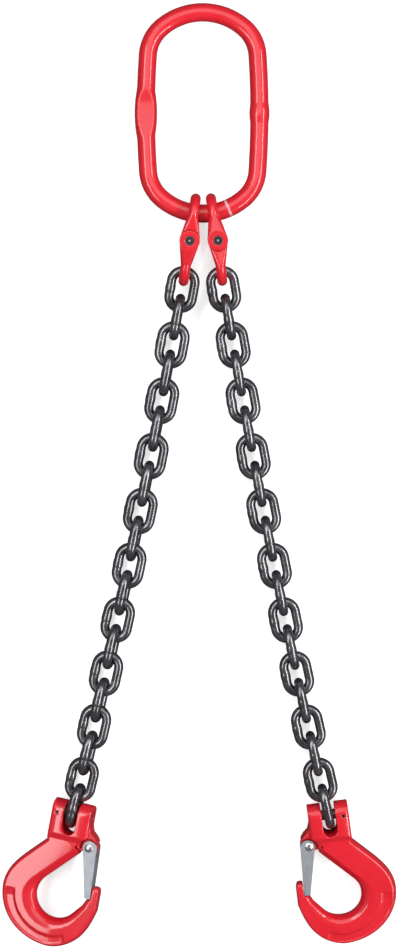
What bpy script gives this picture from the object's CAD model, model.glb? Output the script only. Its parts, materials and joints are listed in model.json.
"""Two-leg chain sling: finishes, forged surfaces, studio and camera."""
import json
import math

import bpy
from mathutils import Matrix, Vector

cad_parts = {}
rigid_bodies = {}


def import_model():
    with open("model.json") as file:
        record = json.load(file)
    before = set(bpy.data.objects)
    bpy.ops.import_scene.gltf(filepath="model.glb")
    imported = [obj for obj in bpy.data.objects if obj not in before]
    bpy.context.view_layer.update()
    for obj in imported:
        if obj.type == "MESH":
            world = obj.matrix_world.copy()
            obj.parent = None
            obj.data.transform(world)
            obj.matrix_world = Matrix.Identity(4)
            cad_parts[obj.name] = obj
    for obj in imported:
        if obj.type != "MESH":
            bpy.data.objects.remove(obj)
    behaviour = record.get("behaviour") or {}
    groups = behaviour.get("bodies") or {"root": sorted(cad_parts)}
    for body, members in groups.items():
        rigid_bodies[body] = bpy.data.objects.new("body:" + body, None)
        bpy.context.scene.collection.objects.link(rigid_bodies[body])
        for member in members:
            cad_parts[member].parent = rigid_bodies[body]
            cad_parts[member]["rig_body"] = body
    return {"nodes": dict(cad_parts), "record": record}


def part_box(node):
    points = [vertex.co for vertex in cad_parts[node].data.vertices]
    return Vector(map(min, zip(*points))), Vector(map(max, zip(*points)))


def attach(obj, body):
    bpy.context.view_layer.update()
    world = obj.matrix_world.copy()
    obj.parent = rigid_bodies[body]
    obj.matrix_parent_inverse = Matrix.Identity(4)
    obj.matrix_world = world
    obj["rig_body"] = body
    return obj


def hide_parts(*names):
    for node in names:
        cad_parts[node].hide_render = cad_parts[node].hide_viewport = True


MM = 0.001
SIDES = ("left", "right")

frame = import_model()
nodes = frame["nodes"]
scene = bpy.context.scene
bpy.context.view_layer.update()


# Camera, as the photograph's perspective gives it
IMAGE_H = 948
LOOK_AT = Vector((0.27, 13.8, 17.0)) * MM
CAMERA_TILT = math.radians(8.0)
CAMERA_DISTANCE = 2.4
PIXELS_PER_METRE = 944.0
SENSOR_HEIGHT = 24.0
CLIP_END = 20.0


def make_camera():
    data = bpy.data.cameras.new("camera")
    data.sensor_fit = "VERTICAL"
    data.sensor_height = SENSOR_HEIGHT
    data.lens = SENSOR_HEIGHT * PIXELS_PER_METRE * CAMERA_DISTANCE / IMAGE_H
    data.clip_end = CLIP_END
    camera = bpy.data.objects.new("camera", data)
    away = Vector((0.0, math.sin(CAMERA_TILT), math.cos(CAMERA_TILT)))
    camera.location = LOOK_AT + CAMERA_DISTANCE * away
    camera.rotation_euler = (-CAMERA_TILT, 0.0, 0.0)
    scene.collection.objects.link(camera)
    scene.camera = camera


# Node materials

class Nodes:
    """A short way to write a material's node tree. Noise scales are in cells per metre."""

    def __init__(self, name):
        self.material = bpy.data.materials.new(name)
        self.material.use_nodes = True
        self.tree = self.material.node_tree
        self.tree.nodes.clear()
        self.coord = self.tree.nodes.new("ShaderNodeTexCoord").outputs["Object"]

    def fill(self, socket, value):
        """Links a socket to another one, or sets its number, vector or colour."""
        if isinstance(value, bpy.types.NodeSocket):
            self.tree.links.new(value, socket)
        elif socket.type == "RGBA":
            socket.default_value = (*value, 1.0)
        else:
            socket.default_value = value

    def add(self, kind, **inputs):
        node = self.tree.nodes.new(kind)
        for key, value in inputs.items():
            self.fill(node.inputs[key.replace("_", " ")], value)
        return node

    def noise(self, scale, detail=3.0, roughness=0.5, stretch=None):
        vector = self.coord
        if stretch:
            vector = self.add("ShaderNodeMapping", Vector=vector, Scale=stretch).outputs["Vector"]
        node = self.add(
            "ShaderNodeTexNoise", Vector=vector, Scale=scale, Detail=detail, Roughness=roughness)
        return node.outputs["Fac"]

    def cells(self, scale):
        return self.add("ShaderNodeTexVoronoi", Vector=self.coord, Scale=scale).outputs["Distance"]

    def ramp(self, fac, low, high, low_at=0.0, high_at=1.0):
        """Maps fac from low_at..high_at to low..high, clamped."""
        node = self.add(
            "ShaderNodeMapRange", Value=fac,
            From_Min=low_at, From_Max=high_at, To_Min=low, To_Max=high)
        node.clamp = True
        return node.outputs["Result"]

    def math(self, operation, a, b):
        node = self.tree.nodes.new("ShaderNodeMath")
        node.operation = operation
        for socket, value in zip(node.inputs, (a, b)):
            self.fill(socket, value)
        return node.outputs["Value"]

    def mix(self, fac, a, b):
        node = self.tree.nodes.new("ShaderNodeMix")
        node.data_type = "RGBA"
        for socket, value in ((node.inputs[0], fac), (node.inputs[6], a), (node.inputs[7], b)):
            self.fill(socket, value)
        return node.outputs[2]

    def blend(self, share, fac, a, b):
        """Mixes b into a, by fac times a share."""
        return self.mix(self.math("MULTIPLY", fac, share), a, b)

    def bump(self, height, distance, below=None):
        node = self.add("ShaderNodeBump", Height=height, Distance=distance, Strength=1.0)
        if below is not None:
            self.fill(node.inputs["Normal"], below)
        return node.outputs["Normal"]

    def pointiness(self):
        return self.tree.nodes.new("ShaderNodeNewGeometry").outputs["Pointiness"]

    def finish(self, **inputs):
        shader = self.add("ShaderNodeBsdfPrincipled", **inputs)
        output = self.tree.nodes.new("ShaderNodeOutputMaterial")
        self.tree.links.new(shader.outputs["BSDF"], output.inputs["Surface"])
        return self.material


# The part of a noise's range that a ramp uses
WIDE = (0.3, 0.7)
NARROW = (0.35, 0.65)


# The paint line on the master link: across the wire, at an angle from the lower end's middle
RING_CROWN = Vector((3.04, 353.8)) * MM
LINE_ANGLE = math.radians(24.0)
LINE_HALF_WIDTH = 1.3 * MM
LINE_INNER = 0.75 * LINE_HALF_WIDTH
LINE_OUTER = 1.15 * LINE_HALF_WIDTH
LINE_TOP = RING_CROWN.y - 30.0 * MM
LINE_SHARE = 0.85
LINE_COLOUR = (0.95, 0.70, 0.72)


def paint_line(n):
    """1 on a hand-painted line across the master link's wire, else 0."""
    place = n.add("ShaderNodeSeparateXYZ", Vector=n.coord)
    across = n.math("SUBTRACT", place.outputs["X"], RING_CROWN.x)
    along = n.math("SUBTRACT", place.outputs["Y"], RING_CROWN.y)
    across = n.math("MULTIPLY", across, math.cos(LINE_ANGLE))
    along = n.math("MULTIPLY", along, math.sin(LINE_ANGLE))
    offset = n.math("ABSOLUTE", n.math("ADD", across, along), 0.0)
    waver = n.math("MULTIPLY", n.math("SUBTRACT", n.noise(180.0), 0.5), LINE_HALF_WIDTH)
    line = n.ramp(n.math("ADD", offset, waver), 1.0, 0.0, LINE_INNER, LINE_OUTER)
    below = n.math("LESS_THAN", place.outputs["Y"], LINE_TOP)
    patchy = n.ramp(n.noise(420.0), 0.45, 1.0, 0.35, 0.55)
    return n.math("MULTIPLY", n.math("MULTIPLY", line, below), patchy)


RED = (0.84, 0.010, 0.024)
RED_FRESH = (0.92, 0.015, 0.034)
RED_HOLLOW = (0.34, 0.003, 0.010)
RED_RIDGE = (0.86, 0.06, 0.085)
RED_SPECK = (0.22, 0.004, 0.01)
FORGE_DEPTH = 0.22 * MM
PEEL_DEPTH = 0.025 * MM


def red_paint(name="red_paint", marked=False):
    """Glossy paint over a forged surface, darker in the hollows, lighter on worn ridges."""
    n = Nodes(name)
    forge = n.noise(60.0, 4.0, 0.55)
    peel = n.noise(520.0, 2.0, 0.6)
    fine = n.noise(260.0, 2.0)
    red = n.mix(n.ramp(n.noise(22.0), 0.0, 1.0, 0.35, 0.68), RED, RED_FRESH)
    hollow = n.ramp(n.pointiness(), 1.0, 0.0, 0.44, 0.497)
    red = n.blend(0.6, hollow, red, RED_HOLLOW)
    ridge = n.ramp(n.pointiness(), 0.0, 1.0, 0.505, 0.56)
    red = n.blend(0.35, ridge, red, RED_RIDGE)
    speck = n.ramp(n.cells(150.0), 1.0, 0.0, 0.03, 0.06)
    speck = n.math("MULTIPLY", speck, n.ramp(n.noise(30.0), 0.0, 1.0, 0.62, 0.72))
    red = n.blend(0.45, speck, red, RED_SPECK)
    if marked:
        red = n.blend(LINE_SHARE, paint_line(n), red, LINE_COLOUR)
    return n.finish(
        Base_Color=red, Roughness=n.ramp(fine, 0.34, 0.46, *WIDE),
        Normal=n.bump(peel, PEEL_DEPTH, n.bump(forge, FORGE_DEPTH)),
        Coat_Weight=1.0, Coat_Roughness=0.09, Specular_IOR_Level=0.35)


CHAIN_DARK = (0.15, 0.145, 0.16)
CHAIN_GREY = (0.235, 0.23, 0.25)
CHAIN_WORN = (0.34, 0.33, 0.35)
SCALE_DEPTH = 0.1 * MM


def chain_steel():
    """Dark heat-treated steel with a little scale, rubbed lighter in places."""
    n = Nodes("chain_steel")
    scale = n.noise(70.0, 2.0)
    streak = n.noise(260.0, 3.0, 0.6)
    grey = n.mix(n.ramp(scale, 0.0, 1.0, *NARROW), CHAIN_DARK, CHAIN_GREY)
    grey = n.mix(n.ramp(n.noise(38.0, 2.0), 0.0, 0.6, 0.5, 0.7), grey, CHAIN_WORN)
    return n.finish(
        Base_Color=grey, Metallic=0.9, Roughness=n.ramp(streak, 0.24, 0.30, *WIDE),
        Normal=n.bump(scale, SCALE_DEPTH), Coat_Weight=0.3, Coat_Roughness=0.15)


ZINC_DARK = (0.27, 0.30, 0.35)
ZINC_LIGHT = (0.42, 0.45, 0.51)
ZINC_EDGE = (0.70, 0.72, 0.76)
BRUSH_STRETCH = (9.0, 1.0, 9.0)
BRUSH_DEPTH = 0.05 * MM


def zinc_plate():
    """Plated sheet, cloudy, brushed along the latch and brighter at its edges."""
    n = Nodes("zinc_plate")
    cloud = n.noise(110.0, 4.0, 0.6)
    brush = n.noise(90.0, 3.0, 0.7, BRUSH_STRETCH)
    grey = n.mix(n.ramp(cloud, 0.0, 1.0, *NARROW), ZINC_DARK, ZINC_LIGHT)
    grey = n.mix(n.ramp(n.pointiness(), 0.0, 0.5, 0.51, 0.58), grey, ZINC_EDGE)
    return n.finish(
        Base_Color=grey, Metallic=0.75, Roughness=n.ramp(brush, 0.44, 0.6, *WIDE),
        Normal=n.bump(brush, BRUSH_DEPTH))


def plain_steel(name, grain, greys, metallic, roughness, depth):
    """Turned or bare steel: a fine grain between two greys."""
    n = Nodes(name)
    grey = n.mix(n.ramp(n.noise(*grain), 0.0, 1.0, *WIDE), *greys)
    return n.finish(
        Base_Color=grey, Metallic=metallic, Roughness=n.ramp(n.noise(*grain), *roughness, *WIDE),
        Normal=n.bump(n.noise(*grain), depth))


# The load pins' ends: a dark face with a bright dot in the middle and a reddish rim
PIN_DOT = 0.7 * MM
PIN_DARK = 1.6 * MM
PIN_FACE = 3.7 * MM
PIN_RIM = 4.2 * MM
PIN_WAVER = 0.5 * MM
PIN_GREYS = ((0.018, 0.016, 0.018), (0.05, 0.045, 0.048))
PIN_RIM_COLOUR = (0.16, 0.10, 0.11)
PIN_DOT_COLOUR = (0.80, 0.81, 0.83)


def pin_steel(side):
    n = Nodes(side + "_pin_steel")
    low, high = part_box(side + "_lock_pin")
    place = n.add("ShaderNodeSeparateXYZ", Vector=n.coord)
    across = n.math("SUBTRACT", place.outputs["X"], (low[0] + high[0]) / 2)
    along = n.math("SUBTRACT", place.outputs["Y"], (low[1] + high[1]) / 2)
    squares = n.math("ADD", n.math("MULTIPLY", across, across), n.math("MULTIPLY", along, along))
    waver = n.math("MULTIPLY", n.noise(600.0), PIN_WAVER)
    radius = n.math("ADD", n.math("POWER", squares, 0.5), waver)
    grain = n.noise(700.0, 3.0, 0.6)
    grey = n.mix(n.ramp(grain, 0.0, 1.0, *WIDE), *PIN_GREYS)
    grey = n.mix(n.ramp(radius, 0.0, 1.0, PIN_FACE, PIN_RIM), grey, PIN_RIM_COLOUR)
    dot = n.ramp(radius, 1.0, 0.0, PIN_DOT, PIN_DARK)
    grey = n.mix(dot, grey, PIN_DOT_COLOUR)
    return n.finish(
        Base_Color=grey, Metallic=n.ramp(dot, 0.0, 0.9), Roughness=n.ramp(dot, 0.6, 0.3),
        Specular_IOR_Level=0.12, Normal=n.bump(grain, 0.05 * MM))


FINISHES = {
    "left_pin": pin_steel("left"),
    "right_pin": pin_steel("right"),
    "red_paint": red_paint(),
    "marked_paint": red_paint("marked_paint", True),
    "chain_steel": chain_steel(),
    "zinc_plate": zinc_plate(),
    "bright_steel": plain_steel(
        "bright_steel", (700.0, 3.0, 0.6), ((0.55, 0.56, 0.58), (0.86, 0.87, 0.88)),
        0.95, (0.22, 0.4), 0.05 * MM),
    "dark_steel": plain_steel(
        "dark_steel", (500.0, 4.0, 0.6), ((0.10, 0.095, 0.10), (0.24, 0.23, 0.24)),
        0.8, (0.32, 0.5), 0.06 * MM),
}


def slot_of(node):
    for part in frame["record"]["subparts"]:
        if part["node"] == node:
            return part["material_slot"]
    raise KeyError(node)


def dress(obj, finish):
    obj.data.materials.clear()
    obj.data.materials.append(FINISHES[finish])


def finish_nodes():
    """Every CAD node in its slot's finish, and the connecting links' pins in their own."""
    for name, obj in nodes.items():
        side = name.split("_")[0]
        dress(obj, side + "_pin" if name.endswith("_lock_pin") else slot_of(name))


# Forged pieces: the solid's own shape with its edges worn round

# Voxel size, rounds of smoothing, and the share of faces that is kept
RING_FORGING = (0.9 * MM, 12, 0.6)
HOOK_FORGING = (0.55 * MM, 12, 0.5)
LOCK_FORGING = (0.45 * MM, 9, 0.5)
SMOOTHING = 0.5


def add_modifier(obj, kind, **settings):
    modifier = obj.modifiers.new(kind.lower(), kind)
    for key, value in settings.items():
        setattr(modifier, key, value)


def forged(node, voxel, rounds, keep):
    """A rounded copy of a CAD node: remeshed finely, smoothed, then thinned."""
    source = nodes[node]
    piece = bpy.data.objects.new(node + "_forged", source.data.copy())
    scene.collection.objects.link(piece)
    add_modifier(piece, "REMESH", mode="VOXEL", voxel_size=voxel, use_smooth_shade=True)
    add_modifier(piece, "SMOOTH", factor=SMOOTHING, iterations=rounds)
    add_modifier(piece, "DECIMATE", ratio=keep)
    evaluated = piece.evaluated_get(bpy.context.evaluated_depsgraph_get())
    mesh = bpy.data.meshes.new_from_object(evaluated)
    piece.modifiers.clear()
    piece.data = mesh
    mesh.name = piece.name
    for polygon in mesh.polygons:
        polygon.use_smooth = True
    slot = slot_of(node)
    dress(piece, "marked_paint" if node == "master_link" else slot)
    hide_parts(node)
    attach(piece, source["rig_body"])


def make_forgings():
    forged("master_link", *RING_FORGING)
    for side in SIDES:
        forged(side + "_hook", *HOOK_FORGING)
        for half in ("upper", "lower"):
            forged(f"{side}_lock_{half}", *LOCK_FORGING)


# Studio

WHITE = (1.0, 1.0, 1.0)
FLOOR_SIZE = 30.0
FLOOR_DROP = 0.2 * MM
# The floor as the camera sees it, paper that also glows, and as everything else does
FLOOR_PAPER = (0.86, 0.86, 0.86)
FLOOR_GLOW = 0.66
FLOOR_FELT = (0.10, 0.10, 0.10)
# The world's strength, for the camera and for everything else
WORLD_SEEN = 1.0
WORLD_FELT = 0.14
# Lamps, all turned to the origin: place, length of the level side and of the other, and power
LAMPS = {
    "left_softbox": ((-1.12, 0.20, 1.66), (1.80, 0.38), 14.5),
    "right_strip": ((1.46, -0.15, 1.37), (2.4, 0.20), 29.0),
    "far_panel": ((0.0, 1.25, 1.9), (2.2, 1.6), 17.0),
}


def camera_sees(tree, seen, felt, output_kind):
    """Gives a tree one shader for the camera's rays and another for all others."""
    path = tree.nodes.new("ShaderNodeLightPath")
    choose = tree.nodes.new("ShaderNodeMixShader")
    for socket, value in zip(choose.inputs, (path.outputs["Is Camera Ray"], felt, seen)):
        tree.links.new(value, socket)
    output = tree.nodes.new(output_kind)
    tree.links.new(choose.outputs[0], output.inputs["Surface"])


def make_floor():
    mesh = bpy.data.meshes.new("floor")
    half = FLOOR_SIZE / 2
    corners = [(-half, -half, 0.0), (half, -half, 0.0), (half, half, 0.0), (-half, half, 0.0)]
    mesh.from_pydata(corners, [], [(0, 1, 2, 3)])
    floor = bpy.data.objects.new("floor", mesh)
    floor.location.z = -FLOOR_DROP
    scene.collection.objects.link(floor)
    n = Nodes("floor_white")
    paper = n.add("ShaderNodeBsdfDiffuse", Color=FLOOR_PAPER)
    glow = n.add("ShaderNodeEmission", Color=WHITE, Strength=FLOOR_GLOW)
    both = n.tree.nodes.new("ShaderNodeAddShader")
    n.tree.links.new(paper.outputs[0], both.inputs[0])
    n.tree.links.new(glow.outputs[0], both.inputs[1])
    dim = n.add("ShaderNodeBsdfDiffuse", Color=FLOOR_FELT)
    camera_sees(n.tree, both.outputs[0], dim.outputs[0], "ShaderNodeOutputMaterial")
    mesh.materials.append(n.material)


def make_world():
    world = bpy.data.worlds.new("world")
    scene.world = world
    world.use_nodes = True
    tree = world.node_tree
    tree.nodes.clear()
    backgrounds = []
    for strength in (WORLD_SEEN, WORLD_FELT):
        background = tree.nodes.new("ShaderNodeBackground")
        background.inputs["Color"].default_value = (*WHITE, 1.0)
        background.inputs["Strength"].default_value = strength
        backgrounds.append(background.outputs[0])
    camera_sees(tree, *backgrounds, "ShaderNodeOutputWorld")


def make_lamps():
    for name, (place, size, power) in LAMPS.items():
        data = bpy.data.lights.new(name, "AREA")
        data.shape = "RECTANGLE"
        data.size, data.size_y = size
        data.energy = power
        lamp = bpy.data.objects.new(name, data)
        lamp.location = place
        lamp.rotation_euler = (-Vector(place)).to_track_quat("-Z", "Y").to_euler()
        scene.collection.objects.link(lamp)


scene.view_settings.view_transform = "Standard"
make_camera()
finish_nodes()
make_forgings()
make_floor()
make_world()
make_lamps()
